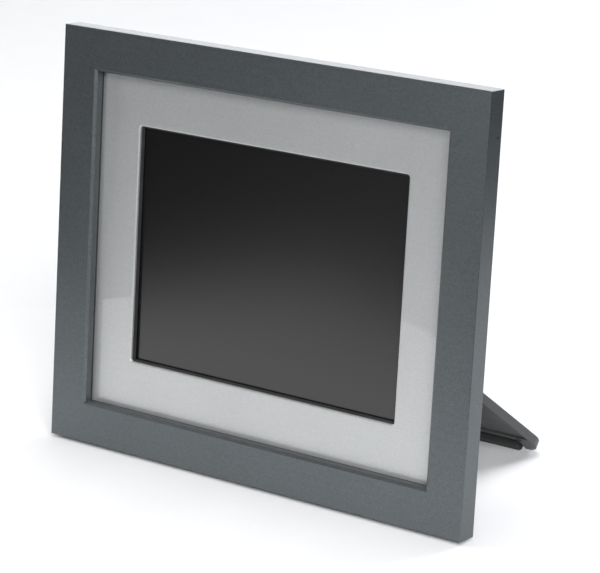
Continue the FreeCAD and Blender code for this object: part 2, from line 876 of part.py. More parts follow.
def standoff_places():
    heights = ("middle_z - standoff_z", "middle_z + standoff_z")
    return [(x, z) for x in both_sides("standoff_x") for z in heights]


def clip_places():
    return [(x, side) for x in both_sides("clip_x") for side in (-1, 1)]


def board_screw_places():
    heights = ("board_low + board_hole_inset", "board_high - board_hole_inset")
    return [(x, z) for x in both_sides("board_half_w - board_hole_inset") for z in heights]


def clip_screw_z(side):
    return f"middle_z + {side} * (lcd_height / 2 + clip_gap + clip_arm + clip_reach / 2)"


def chassis_plate():
    """A steel plate behind the display, with a hole for each screw."""
    body = new_body("chassis_plate")
    outline = sketch_on(body, "front", "lcd_back")
    rectangle(
        outline,
        "-(chassis_width) / 2",
        "chassis_width / 2",
        "middle_z - chassis_height / 2",
        "middle_z + chassis_height / 2",
    )
    pad(body, outline, "chassis_thickness")
    holes = sketch_on(body, "front", "lcd_back")
    for x, z in standoff_places() + [(x, clip_screw_z(side)) for x, side in clip_places()]:
        circle(holes, x, z, "small_screw_radius + screw_play")
    pocket(body, holes, "chassis_thickness")
    return body


def chassis_standoffs():
    """Brass posts from the retainer frame to the chassis plate, bored for the chassis screws."""
    posts = []
    for index, (x, z) in enumerate(standoff_places()):
        name = f"standoff_{index}"
        post = rod(name + "_post", "y", (x, "frame_depth", z), "lcd_back - frame_depth", "standoff_radius")
        stub = rod(name + "_stub", "y", (x, "frame_depth - stub_length", z), "stub_length", "stub_radius")
        start, radius = (x, "lcd_back - standoff_bite - screw_root", z), "small_screw_radius + screw_play"
        bore = rod(name + "_bore", "y", start, "standoff_bite + screw_root", radius)
        posts.append(cut(name, fuse(name + "_blank", post, stub), bore))
    return group("chassis_standoffs", posts)


def small_screws(label, places, seat, bite):
    screws = []
    for index, (x, z) in enumerate(places):
        name = f"{label}_{index}"
        screws.append(
            pan_screw(name, x, z, seat, bite, "small_screw_radius", "small_head_radius", "small_head_height")
        )
    return group(label, screws)


def chassis_screws():
    bite = "chassis_thickness + standoff_bite"
    return small_screws("chassis_screws", standoff_places(), "chassis_back", bite)


def lcd_clips():
    """Angle brackets above and below the display, screwed to the chassis plate."""
    clips = []
    for index, (x, side) in enumerate(clip_places()):
        edge = "lcd_height / 2 + clip_gap"
        heights = [f"{edge}", f"{edge} + clip_arm", f"{edge} + clip_arm + clip_reach"]
        spots = [f"middle_z + {side} * ({item})" for item in heights]
        near_z, mid_z, far_z = spots
        arm_z = (near_z, mid_z) if side > 0 else (mid_z, near_z)
        tab_z = (mid_z, far_z) if side > 0 else (far_z, mid_z)
        left, right = f"{x} - clip_width / 2", f"{x} + clip_width / 2"
        low = (left, "gasket_back + clip_inset", arm_z[0])
        arm = box(f"clip_arm_{index}", low, (right, "lcd_back", arm_z[1]))
        tab = box(f"clip_tab_{index}", (left, "lcd_back - clip_tab", tab_z[0]), (right, "lcd_back", tab_z[1]))
        start = (x, "lcd_back - clip_tab - beyond", clip_screw_z(side))
        length = "clip_tab + 2 * beyond"
        bore = rod(f"clip_bore_{index}", "y", start, length, "small_screw_radius + screw_play")
        clips.append(cut(f"clip_{index}", fuse(f"clip_blank_{index}", arm, tab), bore))
    return group("lcd_clips", clips)


def clip_screws():
    places = [(x, clip_screw_z(side)) for x, side in clip_places()]
    return small_screws("clip_screws", places, "chassis_back", "chassis_thickness + clip_tab")


def main_board():
    body = new_body("main_board")
    outline = sketch_on(body, "front", "board_front")
    rectangle(outline, "-(board_half_w)", "board_half_w", "board_low", "board_high")
    pad(body, outline, "board_thickness")
    holes = sketch_on(body, "front", "board_front")
    for x, z in board_screw_places():
        circle(holes, x, z, "small_screw_radius + screw_play")
    pocket(body, holes, "board_thickness")
    return body


def board_standoffs():
    posts = []
    for index, (x, z) in enumerate(board_screw_places()):
        start = (x, "chassis_back", z)
        bore = "small_screw_radius + screw_play"
        posts.append(tube(f"board_post_{index}", "y", start, "board_gap", "standoff_radius", bore))
    return group("board_standoffs", posts)


def board_screws():
    bite = "board_thickness + board_gap - board_screw_gap"
    return small_screws("board_screws", board_screw_places(), "board_back", bite)


def board_block(kind):
    """A flat component soldered to the back of the main board."""
    x, z, width, height, thickness = BOARD_BLOCKS[kind]
    low = (f"{x} - {width} / 2", "board_back", f"board_middle + ({z}) - {height} / 2")
    high = (f"{x} + {width} / 2", f"board_back + {thickness}", f"board_middle + ({z}) + {height} / 2")
    return box(kind + "_block", low, high)


def processor_chip():
    return group("processor_chip", [board_block("processor")])


def memory_chips():
    return group("memory_chips", [board_block("memory_low"), board_block("memory_high")])


def power_inductor():
    return group("power_inductor", [board_block("inductor")])


def capacitors():
    cans = []
    for index in range(CAPACITORS):
        start = (f"can_x + can_pitch * {index}", "board_back", "board_middle + can_z")
        cans.append(rod(f"can_{index}", "y", start, "can_height", "can_radius"))
    return group("capacitors", cans)


def flex_connector():
    low = ("-flex_half", "board_back", "board_low + flex_low")
    high = ("flex_half", "board_back + flex_height", "board_low + flex_high")
    return block_part("flex_connector", low, high)


def display_ribbon():
    """A flat flexible cable from the display's lower edge, round the chassis plate, to its socket."""
    body = new_body("display_ribbon")
    path = sketch_on(body, "side", "-ribbon_width / 2")
    thick = "ribbon_thickness"
    start_z, turn_z = "middle_z - lcd_height / 2 - ribbon_gap", "middle_z - chassis_height / 2 - ribbon_loop"
    step_z, end_z = "block_low + ribbon_step", "board_low + ribbon_end"
    front_y, back_y = "gasket_back + ribbon_start", "chassis_back + ribbon_lift"
    top_y = "board_back + fit_clearance"
    polygon(
        path,
        [
            (front_y, start_z),
            (front_y, turn_z),
            (f"{back_y} + {thick}", turn_z),
            (f"{back_y} + {thick}", step_z),
            (f"{top_y} + {thick}", step_z),
            (f"{top_y} + {thick}", end_z),
            (top_y, end_z),
            (top_y, f"{step_z} + {thick}"),
            (back_y, f"{step_z} + {thick}"),
            (back_y, f"{turn_z} + {thick}"),
            (f"{front_y} + {thick}", f"{turn_z} + {thick}"),
            (f"{front_y} + {thick}", start_z),
        ],
    )
    pad(body, path, "ribbon_width")
    return body


def button_x(index):
    return f"{index - len(BUTTONS) // 2} * button_pitch"


def tact_switches():
    """One switch under each button: a square case with a round plunger."""
    switches = []
    for index in range(len(BUTTONS)):
        x = button_x(index)
        half = "switch_size / 2"
        low = (f"{x} - {half}", "board_back", f"button_z - {half}")
        high = (f"{x} + {half}", "switch_top - plunger_height", f"button_z + {half}")
        start = (x, "switch_top - plunger_height - beyond", "button_z")
        plunger = rod(f"plunger_{index}", "y", start, "plunger_height + beyond", "plunger_radius")
        switches.append(fuse(f"switch_{index}", box(f"switch_case_{index}", low, high), plunger))
    return group("tact_switches", switches)


# ---- side bays: connectors, speakers and the lamp supply ------------------------------------------


def bay_board(label, side, low_z, high_z):
    """A narrow board standing on the retainer frame beside the display."""
    inner, outer = "lcd_width / 2 + bay_board_gap", "bay_x - bay_board_play"
    x0, x1 = (inner, outer) if side > 0 else (f"-({outer})", f"-({inner})")
    return block_part(label, (x0, "frame_depth", low_z), (x1, "bay_front", high_z))


def power_board():
    return bay_board("power_board", -1, "jack_z - power_board_drop", "jack_z + power_board_rise")


def inverter_board():
    top = "cover_high - cover_wall - inverter_board_top"
    return bay_board("inverter_board", -1, "speaker_z + inverter_board_rise", top)


def socket_board():
    low = "usb_z - usb_height / 2 - socket_board_drop"
    return bay_board("socket_board", 1, low, "card_z + card_height / 2 + socket_board_rise")


def inverter_transformer():
    left, low_z = "-(bay_x) + transformer_inset", "speaker_z + transformer_rise"
    high = (f"{left} + transformer_width", "bay_front + transformer_depth", f"{low_z} + transformer_height")
    return block_part("inverter_transformer", (left, "bay_front", low_z), high)


def dc_inlet():
    """A barrel power socket: block and collar, a bore from the outside and its centre pin."""
    wall = "-(cover_half_w)"
    low = ("-(bay_x)", "bay_front", "jack_z - jack_half")
    high = ("-(bay_x) + jack_length", "bay_front + jack_depth", "jack_z + jack_half")
    case = box("jack_case", low, high)
    start = (f"{wall} + jack_inset", "jack_y", "jack_z")
    collar = rod("jack_collar", "x", start, "cover_wall + bay_gap", "jack_collar_radius")
    start = (f"{wall} - beyond", "jack_y", "jack_z")
    bore = rod("jack_bore", "x", start, "jack_bore_depth + jack_inset + beyond", "jack_bore_radius")
    start = (f"{wall} + jack_pin_inset", "jack_y", "jack_z")
    pin = rod("jack_pin", "x", start, "jack_bore_depth", "jack_pin_radius")
    return fuse("dc_inlet", cut("jack_shell", fuse("jack_blank", case, collar), bore), pin)


def usb_socket():
    """A folded metal shell with a contact tongue inside."""
    half, back, face = "usb_height / 2", "bay_x - usb_length", "bay_x + usb_proud"
    shell = box(
        "usb_shell",
        (back, "bay_front", f"usb_z - {half}"),
        (face, "bay_front + usb_depth", f"usb_z + {half}"),
    )
    hollow = box(
        "usb_hollow",
        (f"{back} + usb_back_wall", "bay_front + shell_sheet", f"usb_z - {half} + shell_sheet"),
        (f"{face} + beyond", "bay_front + usb_depth - shell_sheet", f"usb_z + {half} - shell_sheet"),
    )
    tongue = box(
        "usb_tongue",
        (f"{back} + usb_tongue_root", "bay_front + usb_tongue_front", f"usb_z - {half} + usb_tongue_side"),
        ("bay_x + usb_tongue_reach", "bay_front + usb_tongue_back", f"usb_z + {half} - usb_tongue_side"),
    )
    return fuse("usb_socket", cut("usb_case", shell, hollow), tongue)


def card_socket():
    """A flat metal housing that takes a memory card from the side."""
    half, back, face = "card_height / 2", "lcd_width / 2 + card_start", "bay_x + card_proud"
    shell = box(
        "card_shell",
        (back, "bay_front", f"card_z - {half}"),
        (face, "bay_front + card_depth", f"card_z + {half}"),
    )
    slot = box(
        "card_slot",
        (f"{back} + card_back_wall", "bay_front + shell_sheet", f"card_z - {half} + card_side_wall"),
        (f"{face} + beyond", "bay_front + card_depth - card_roof", f"card_z + {half} - card_side_wall"),
    )
    return cut("card_socket", shell, slot)


def speaker(label, side):
    """A slim speaker: an oblong basket with a dished front, open at the grille, and a round magnet."""
    body = new_body(label)
    middle = f"{side} * (speaker_x)"
    left, right = f"{middle} - speaker_width / 2", f"{middle} + speaker_width / 2"
    low, high = "speaker_z - speaker_height / 2", "speaker_z + speaker_height / 2"
    basket = sketch_on(body, "front", "frame_depth + magnet_depth")
    rounded_rectangle(basket, left, right, low, high, "speaker_corner")
    pad(body, basket, "base_inner - speaker_clear - frame_depth - magnet_depth")
    magnet = sketch_on(body, "front", "frame_depth + magnet_gap")
    circle(magnet, middle, "speaker_z", "magnet_radius")
    pad(body, magnet, "magnet_depth")
    dish = sketch_on(body, "front", "dish_floor")
    sides = (f"{left} + dish_wall", f"{right} - dish_wall", f"{low} + dish_wall", f"{high} - dish_wall")
    rounded_rectangle(dish, *sides, "dish_corner")
    pocket(body, dish, "dish_depth + beyond")
    return body


def speaker_cones():
    cones = []
    half_w, half_h = "(speaker_width / 2 - cone_inset)", "(speaker_height / 2 - cone_inset)"
    front = "dish_floor + cone_lift"
    for index, middle in enumerate(both_sides("speaker_x")):
        low = (f"{middle} - {half_w}", front, f"speaker_z - {half_h}")
        high = (f"{middle} + {half_w}", f"{front} + cone_thickness", f"speaker_z + {half_h}")
        cones.append(box(f"cone_{index}", low, high))
    return group("speaker_cones", cones)


# ---- rear cover -----------------------------------------------------------------------------------


def cover_shell(body):
    """Mounting flange, shallow base and the taller middle block, hollowed from the front."""
    wide = "cover_half_w + flange_width"
    flange = sketch_on(body, "front", "frame_depth")
    low, high = "cover_low - flange_width", "cover_high + flange_width"
    rounded_rectangle(flange, f"-({wide})", wide, low, high, "flange_corner")
    pad(body, flange, "flange_thickness")
    base = sketch_on(body, "front", "frame_depth")
    rounded_rectangle(base, "-(cover_half_w)", "cover_half_w", "cover_low", "cover_high", "base_corner")
    pad(body, base, "base_depth")
    dress(body, "Fillet", "base_round", lambda edge: flat_at(edge, "Y", "base_back"))
    block = sketch_on(body, "front", "base_inner")
    sides = ("-block_half_width", "block_half_width", "block_low", "block_high")
    rounded_rectangle(block, *sides, "block_corner")
    pad(body, block, "block_back - base_inner")
    dress(body, "Fillet", "block_round", lambda edge: flat_at(edge, "Y", "block_back"))
    hollow = sketch_on(body, "front", "frame_depth")
    inner = "cover_half_w - cover_wall"
    rounded_rectangle(
        hollow, f"-({inner})", inner, "cover_low + cover_wall", "cover_high - cover_wall", "hollow_corner"
    )
    pocket(body, hollow, "base_depth - cover_wall")
    hollow = sketch_on(body, "front", "frame_depth")
    inner = "block_half_width - cover_wall"
    low, high = "block_low + cover_wall", "block_high - cover_wall"
    rounded_rectangle(hollow, f"-({inner})", inner, low, high, "block_hollow_corner")
    pocket(body, hollow, "block_inner - frame_depth")


def cover_hinge(body):
    """An ear outside each stand arm, and one bore on the hinge axis through ears and block walls."""
    ears = []
    web = sketch_on(body, "side", "ear_x")
    rectangle(web, "base_back - web_root", "hinge_y", "hinge_z - ear_radius", "hinge_z + ear_radius")
    ears.append(pad(body, web, "ear_thickness"))
    eye = sketch_on(body, "side", "ear_x")
    circle(eye, "hinge_y", "hinge_z", "ear_radius")
    ears.append(pad(body, eye, "ear_thickness"))
    mirror(body, ears)
    axis = sketch_on(body, "side", "0")
    circle(axis, "hinge_y", "hinge_z", "pin_radius + press_play")
    through_both_ways(body, axis)


def cover_openings(body):
    """Screw holes, keyholes, button holes, vents, speaker grilles and the connector windows."""
    holes = sketch_on(body, "front", "frame_depth")
    for x, z in cover_screw_places():
        circle(holes, x, z, "cover_screw_radius + cover_hole_play")
    pocket(body, holes, "flange_thickness")
    wall = sketch_on(body, "front", "block_inner - beyond")
    for x in both_sides("keyhole_spacing / 2"):
        keyhole(wall, x, "keyhole_z", "keyhole_head_radius", "keyhole_slot_radius", "keyhole_travel")
    for index in range(len(BUTTONS)):
        circle(wall, button_x(index), "button_z", "button_radius + button_gap")
    pocket(body, wall, "cover_wall + 2 * beyond")
    left = f"-vent_pitch * {(VENTS - 1) / 2} - vent_width / 2"
    for low in ("block_high - vent_upper_drop", "block_low + vent_lower_rise"):
        vent = sketch_on(body, "front", "block_inner - beyond")
        sides = (left, f"{left} + vent_width", low, f"{low} + vent_length")
        rounded_rectangle(vent, *sides, "vent_width / 2 - slot_flat")
        repeat(body, pocket(body, vent, "cover_wall + 2 * beyond"), "X", "vent_pitch", VENTS)
    low = f"speaker_z - grille_pitch * {(GRILLE_SLOTS - 1) / 2} - grille_width / 2"
    for middle in both_sides("speaker_x"):
        slot = sketch_on(body, "front", "base_inner - beyond")
        left, right = f"{middle} - grille_length / 2", f"{middle} + grille_length / 2"
        rounded_rectangle(slot, left, right, low, f"{low} + grille_width", "grille_width / 2 - slot_flat")
        repeat(body, pocket(body, slot, "cover_wall + 2 * beyond"), "Z", "grille_pitch", GRILLE_SLOTS)
    window = sketch_on(body, "side", "cover_half_w")
    front = "bay_front - socket_underlap"
    sockets = (("usb_depth", "usb_z", "usb_height"), ("card_depth", "card_z", "card_height"))
    for depth, middle, height in sockets:
        half = f"({height} / 2 + fit_clearance)"
        back = f"bay_front + {depth} + fit_clearance"
        rectangle(window, front, back, f"{middle} - {half}", f"{middle} + {half}")
    pocket(body, window, "cover_wall + beyond")
    window = sketch_on(body, "side", "-(cover_half_w)")
    circle(window, "jack_y", "jack_z", "jack_window_radius")
    pocket(body, window, "cover_wall + beyond", reverse=True)


def rear_cover():
    body = new_body("rear_cover")
    cover_shell(body)
    cover_hinge(body)
    cover_openings(body)
    return body


def rear_cover_screws():
    seat = "frame_depth + flange_thickness"
    bite = "flange_thickness + cover_screw_bite - fit_clearance"
    screws = []
    for index, (x, z) in enumerate(cover_screw_places()):
        name = f"cover_screw_{index}"
        sizes = ("cover_screw_radius", "cover_head_radius", "cover_head_height")
        screws.append(pan_screw(name, x, z, seat, bite, *sizes))
    return group("rear_cover_screws", screws)


def button(label, index):
    """A round cap that shows on the back, a flange that keeps it inside and a stem for its switch."""
    x, front = button_x(index), "flange_back - button_flange"
    cap = rod(label + "_cap", "y", (x, front, "button_z"), f"button_back - ({front})", "button_radius")
    wide = "button_radius + button_rim"
    flange = rod(label + "_flange", "y", (x, front, "button_z"), "button_flange", wide)
    start = (x, "stem_front", "button_z")
    stem = rod(label + "_stem", "y", start, "button_stem_length + beyond", "button_stem_radius")
    return fuse(label, cap, flange, stem)


def desk_feet():
    """Two rubber wedges under the frame's bottom edge, with their undersides level on the desk."""
    feet = []
    front, back = "frame_depth - desk_foot_front", "frame_depth - desk_foot_back"
    spans = ("desk_foot_front", "desk_foot_back")
    drop = [f"-({span} * sin(lean) + edge_lift) / cos(lean)" for span in spans]
    for index, x in enumerate(both_sides("desk_foot_x")):
        body = new_body(f"desk_foot_{index}")
        side = sketch_on(body, "side", f"{x} - desk_foot_length / 2")
        polygon(side, [(front, "0"), (front, drop[0]), (back, drop[1]), (back, "0")])
        pad(body, side, "desk_foot_length")
        feet.append(body)
    return group("desk_feet", feet)


# ---- folding stand --------------------------------------------------------------------------------


def stand_leg():
    """A wide U-shaped leg: two arms on hinge barrels, joined by a cross-piece at the foot."""
    body = new_body("stand_leg")
    outline = sketch_on(body, "front", "stand_inner")
    foot, crotch, shoulder = "-(stand_length)", "-(stand_window)", "-(ear_radius + shoulder_gap)"
    polygon(
        outline,
        [
            ("-stand_hinge_half", "0"),
            ("-stand_hinge_half", shoulder),
            ("-stand_foot_half", foot),
            ("stand_foot_half", foot),
            ("stand_hinge_half", shoulder),
            ("stand_hinge_half", "0"),
            ("stand_window_half", "0"),
            ("stand_window_half", crotch),
            ("-stand_window_half", crotch),
            ("-stand_window_half", "0"),
        ],
    )
    pad(body, outline, "stand_thickness")

    def corner_at(edge, across, height):
        return flat_at(edge, "Z", height) and (flat_at(edge, "X", across) or flat_at(edge, "X", f"-{across}"))

    dress(body, "Fillet", "stand_corner", lambda edge: corner_at(edge, "stand_foot_half", foot))
    dress(body, "Fillet", "stand_inner_corner", lambda edge: corner_at(edge, "stand_window_half", crotch))

    def outer_face(edge):
        return flat_at(edge, "Y", "barrel_radius") and not flat_at(edge, "Z", "0")

    dress(body, "Fillet", "stand_edge_radius", outer_face)
    barrel = sketch_on(body, "side", "barrel_x")
    circle(barrel, "0", "0", "barrel_radius")
    barrels = [pad(body, barrel, "barrel_length")]
    mirror(body, barrels)
    bore = sketch_on(body, "side", "0")
    circle(bore, "0", "0", "bush_radius + press_play")
    through_both_ways(body, bore)
    sunk = sketch_on(body, "front", "stand_inner")
    high, low = "-barrel_radius - rim_top", f"{foot} + foot_recess_height + rim_low"
    for side in ("-1", "1"):
        corners = [
            (f"{side} * (stand_window_half + rim_at_window)", high),
            (f"{side} * (stand_hinge_half - rim_at_hinge)", high),
            (f"{side} * (stand_foot_half - rim_at_foot)", low),
            (f"{side} * (stand_window_half + rim_at_window)", low),
        ]
        polygon(sunk, corners if side == "1" else corners[::-1])
    pocket(body, sunk, "rim_depth")
    seat = sketch_on(body, "front", "stand_inner")
    wide = "foot_pad_half + foot_recess_side"
    rectangle(seat, f"-({wide})", wide, f"{foot} - beyond", f"{foot} + foot_recess_height")
    pocket(body, seat, "foot_recess_depth")
    dimples = sketch_on(body, "front", "stand_inner")
    for x in both_sides("stand_foot_half - dimple_inset"):
        circle(dimples, x, f"{foot} + foot_recess_height + dimple_rise", "dimple_radius")
    pocket(body, dimples, "dimple_depth")
    return body


def stand_foot_pad():
    """A rubber bar in the leg's foot recess, cut level where it meets the desk."""
    body = new_body("stand_foot_pad")
    side = sketch_on(body, "side", "-foot_pad_half")

    def floor(y):
        return f"-(hinge_lift + ({y}) * sin(stand_open)) / cos(stand_open)"

    top = f"{floor('pad_face')} + foot_pad_height"
    bottom = "-(stand_length) + foot_pad_gap"
    level = f"(-({bottom}) * cos(stand_open) - hinge_lift) / sin(stand_open)"
    front = [("pad_face", top), ("pad_face", floor("pad_face")), (level, bottom)]
    polygon(side, front + [("pad_seat", bottom), ("pad_seat", top)])
    pad(body, side, "2 * foot_pad_half")
    return body


def stand_bushes():
    """Plain plastic bushes pressed into the stand's two barrels."""
    bushes = []
    for index, start in enumerate(("barrel_x", "-stand_hinge_half")):
        place, bore = (start, "0", "0"), "pin_radius + pin_play"
        bushes.append(tube(f"bush_{index}", "x", place, "barrel_length", "bush_radius", bore))
    return group("stand_bushes", bushes)


def hinge_pins():
    """Two steel pins on the hinge axis, each held in a cover ear and in the block's side wall."""
    inner = "block_half_width - cover_wall"
    length = f"ear_x + ear_thickness - ({inner})"
    pins = []
    for index, start in enumerate((inner, "-(ear_x + ear_thickness)")):
        pins.append(rod(f"pin_{index}", "x", (start, "hinge_y", "hinge_z"), length, "pin_radius"))
    return group("hinge_pins", pins)


def friction_washers():
    """Two pairs of spring washers squeezed between the stand's barrels and the cover's ears."""
    washers = []
    length, radius, bore = (
        "washer_space - washer_gap - washer_seat", "barrel_radius - washer_margin", "pin_radius + washer_play"
    )
    for index, start in enumerate(("stand_hinge_half + washer_gap", "-(ear_x) + washer_seat")):
        washers.append(tube(f"washer_{index}", "x", (start, "hinge_y", "hinge_z"), length, radius, bore))
    return group("friction_washers", washers)


# ---- assembly -------------------------------------------------------------------------------------


def panel_parts():
    makers = [
        front_frame, lip_seal, mat_plate, screen_gasket, retainer_frame, lcd_bezel, lcd_panel,
        optical_sheets, light_guide, backlight_lamp, backlight_tray, chassis_plate, chassis_standoffs,
        chassis_screws, lcd_clips, clip_screws, main_board, board_standoffs, board_screws, processor_chip,
        memory_chips, capacitors, power_inductor, flex_connector, display_ribbon, tact_switches,
        power_board, inverter_board, socket_board, inverter_transformer, dc_inlet, usb_socket,
        card_socket, speaker_cones, rear_cover, rear_cover_screws, hinge_pins, friction_washers, desk_feet,
    ]
    parts = [make() for make in makers]
    parts += [speaker("speaker_left", -1), speaker("speaker_right", 1)]
    parts += [button(label, index) for index, label in enumerate(BUTTONS)]
    return parts


def stand_parts():
    return [stand_leg(), stand_foot_pad(), stand_bushes()]


def panel_placement(shift):
    """Lean the panel back about its lower rear edge, which is then edge_lift above the desk."""
    turn = FreeCAD.Rotation(FreeCAD.Vector(1, 0, 0), -value("lean"))
    edge = FreeCAD.Vector(0, value("frame_depth"), 0)
    target = FreeCAD.Vector(0, shift, value("edge_lift"))
    return FreeCAD.Placement(target - turn.multVec(edge), turn)


def stand_placement(shift):
    """Swing the stand out from straight down by its open angle, about the hinge axis."""
    turn = FreeCAD.Rotation(FreeCAD.Vector(1, 0, 0), value("stand_open"))
    return FreeCAD.Placement(hinge_point(shift), turn)


def hinge_point(shift):
    return FreeCAD.Vector(0, shift + value("hinge_reach"), value("hinge_lift"))


def footprint_shift():
    """How far to move everything along Y so that the footprint's middle is at the origin."""
    radius = value("edge_radius")
    depth = value("frame_depth") - radius
    lean = math.radians(value("lean"))
    front = -depth * math.cos(lean) + radius * math.sin(lean) - radius
    heel_turn = math.radians(value("stand_open"))
    round_edge = value("stand_edge_radius")
    heel_y, heel_z = value("barrel_radius") - round_edge, value("stand_length") - round_edge
    back = value("hinge_reach") + heel_y * math.cos(heel_turn) + heel_z * math.sin(heel_turn) + round_edge
    return -(front + back) / 2


def check(part):
    broken = [item.Label for item in doc.Objects if "Invalid" in item.State or "Error" in item.State]
    if broken:
        raise ValueError("failed objects: " + ", ".join(broken))
    if part.Shape.isNull() or not part.Shape.isValid():
        raise ValueError(part.Label + " has no valid shape")


def main():
    fill_sheet()
    panel, stand = panel_parts(), stand_parts()
    doc.recompute()
    shift = footprint_shift()
    for part in panel:
        part.Placement = panel_placement(shift)
    for part in stand:
        part.Placement = stand_placement(shift)
    doc.recompute()
    os.makedirs("parts", exist_ok=True)
    for part in panel + stand:
        check(part)
    for part in panel + stand:
        part.Shape.exportStep(f"parts/{part.Label}.step")


if __name__ == "__main__":
    main()
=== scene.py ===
import json
import math
import bpy
import numpy as np
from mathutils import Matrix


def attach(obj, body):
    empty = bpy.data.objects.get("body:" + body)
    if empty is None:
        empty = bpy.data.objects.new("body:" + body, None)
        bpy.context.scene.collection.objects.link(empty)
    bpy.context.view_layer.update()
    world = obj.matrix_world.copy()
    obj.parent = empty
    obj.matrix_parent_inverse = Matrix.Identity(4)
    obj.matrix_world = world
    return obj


# A digital photo frame leaning on its folding stand, on a pale table in soft studio light.
# Lengths are in metres. Every finish is a node tree that reads the piece's own Object coordinates.

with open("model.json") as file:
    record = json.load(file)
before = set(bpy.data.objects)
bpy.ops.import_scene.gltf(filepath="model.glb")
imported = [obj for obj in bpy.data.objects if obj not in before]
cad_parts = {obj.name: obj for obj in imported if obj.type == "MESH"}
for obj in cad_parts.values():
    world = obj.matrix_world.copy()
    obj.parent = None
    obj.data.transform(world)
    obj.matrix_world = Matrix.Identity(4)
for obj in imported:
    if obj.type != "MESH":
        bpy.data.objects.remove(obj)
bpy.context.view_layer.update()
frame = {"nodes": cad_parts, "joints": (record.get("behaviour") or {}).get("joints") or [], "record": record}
MM = 0.001


# ---- node trees -----------------------------------------------------------------------------------


class Finish:
    """One material: its principled surface, and short ways to add the nodes that feed it."""

    def __init__(self, name):
        self.material = bpy.data.materials.new(name)
        self.material.use_nodes = True
        self.tree = self.material.node_tree
        self.surface = self.tree.nodes["Principled BSDF"]
        self.place = self.add("TexCoord").outputs["Object"]

    def add(self, kind, **settings):
        """Add a shader node by the end of its type's name, and set its plain properties."""
        node = self.tree.nodes.new("ShaderNode" + kind)
        for key, setting in settings.items():
            setattr(node, key, setting)
        return node

    def fill(self, socket, source):
        """Give a socket either another node's output or a plain value."""
        if isinstance(source, bpy.types.NodeSocket):
            self.tree.links.new(source, socket)
        else:
            socket.default_value = source

    def noise(self, size, detail=2.0, stretch=(1.0, 1.0, 1.0)):
        """Cloudy noise whose features are about `size` across, longer where stretch is below 1."""
        node = self.add("TexNoise")
        place = self.place
        if stretch != (1.0, 1.0, 1.0):
            mapping = self.add("Mapping")
            self.fill(mapping.inputs["Vector"], place)
            mapping.inputs["Scale"].default_value = stretch
            place = mapping.outputs["Vector"]
        self.fill(node.inputs["Vector"], place)
        self.fill(node.inputs["Scale"], 1.0 / size)
        self.fill(node.inputs["Detail"], detail)
        return node.outputs["Fac"]

    def cells(self, size, output="Color"):
        """Cells about `size` across: a random value for each, or the distance from its middle."""
        node = self.add("TexVoronoi")
        self.fill(node.inputs["Vector"], self.place)
        self.fill(node.inputs["Scale"], 1.0 / size)
        return node.outputs[output]

    def tones(self, amount, *stops):
        """Colours along a ramp: each stop is (position, (red, green, blue))."""
        node = self.add("ValToRGB")
        self.fill(node.inputs["Fac"], amount)
        ramp = node.color_ramp
        while len(ramp.elements) < len(stops):
            ramp.elements.new(0.5)
        for element, (position, colour) in zip(ramp.elements, stops):
            element.position = position
            element.color = (*colour, 1.0)
        return node.outputs["Color"]

    def span(self, amount, start, end, low, high):
        """Carry a value from one range to another, held at both ends."""
        node = self.add("MapRange")
        for socket, source in zip(node.inputs, (amount, start, end, low, high)):
            self.fill(socket, source)
        return node.outputs["Result"]

    def sum(self, first, second, operation="ADD"):
        """Two values added, or joined by another plain operation."""
        node = self.add("Math", operation=operation)
        self.fill(node.inputs[0], first)
        self.fill(node.inputs[1], second)
        return node.outputs["Value"]

    def blend(self, amount, under, over, mode="MIX"):
        """One colour laid over another by an amount."""
        node = self.add("Mix", data_type="RGBA", blend_type=mode)
        for socket, source in zip((node.inputs[0], node.inputs[6], node.inputs[7]), (amount, under, over)):
            self.fill(socket, (*source, 1.0) if isinstance(source, tuple) else source)
        return node.outputs[2]

    def relief(self, height, depth, strength=1.0, under=None):
        """Fine relief `depth` deep, laid on another relief where `under` is given."""
        node = self.add("Bump")
        self.fill(node.inputs["Height"], height)
        self.fill(node.inputs["Distance"], depth)
        self.fill(node.inputs["Strength"], strength)
        if under is not None:
            self.fill(node.inputs["Normal"], under)
        return node.outputs["Normal"]

    def done(self, colour, roughness, normal=None, **settings):
        """Feed the surface and return the material; other settings go on the sockets they name."""
        self.fill(self.surface.inputs["Base Color"], (*colour, 1.0) if isinstance(colour, tuple) else colour)
        self.fill(self.surface.inputs["Roughness"], roughness)
        if normal is not None:
            self.fill(self.surface.inputs["Normal"], normal)
        for name, setting in settings.items():
            self.surface.inputs[name.replace("_", " ").title().replace("Ior", "IOR")].default_value = setting
        return self.material


def flake_paint(name, dark, light, flake, roughness, relief, **settings):
    """Metallic paint: every flake has its own tone and gloss under a faint cloud and orange peel."""
    finish = Finish(name)
    flakes = finish.cells(flake)
    grain = finish.tones(flakes, (0.25, dark), (0.75, light))
    cloud = finish.tones(finish.noise(60 * MM), (0.3, (0.95, 0.95, 0.95)), (0.7, (1.0, 1.0, 1.0)))
    colour = finish.blend(1.0, grain, cloud, "MULTIPLY")
    gloss = finish.span(flakes, 0.2, 0.8, roughness - 0.05, roughness + 0.05)
    peel = finish.relief(finish.noise(1.6 * MM), relief)
    fine = finish.relief(finish.noise(0.4 * MM), relief * 0.5, 0.6, peel)
    return finish.done(colour, gloss, fine, **settings)


def grained(name, dark, light, size, roughness, relief, **settings):
    """Two close tones mixed by a fine grain, with gloss and relief that follow the same grain."""
    finish = Finish(name)
    grain = finish.noise(size, 4.0)
    broad = finish.noise(size * 25)
    colour = finish.tones(finish.sum(grain, finish.sum(broad, 0.5, "SUBTRACT")), (0.3, dark), (0.7, light))
    gloss = finish.span(broad, 0.3, 0.7, roughness - 0.06, roughness + 0.06)
    return finish.done(colour, gloss, finish.relief(grain, relief), **settings)


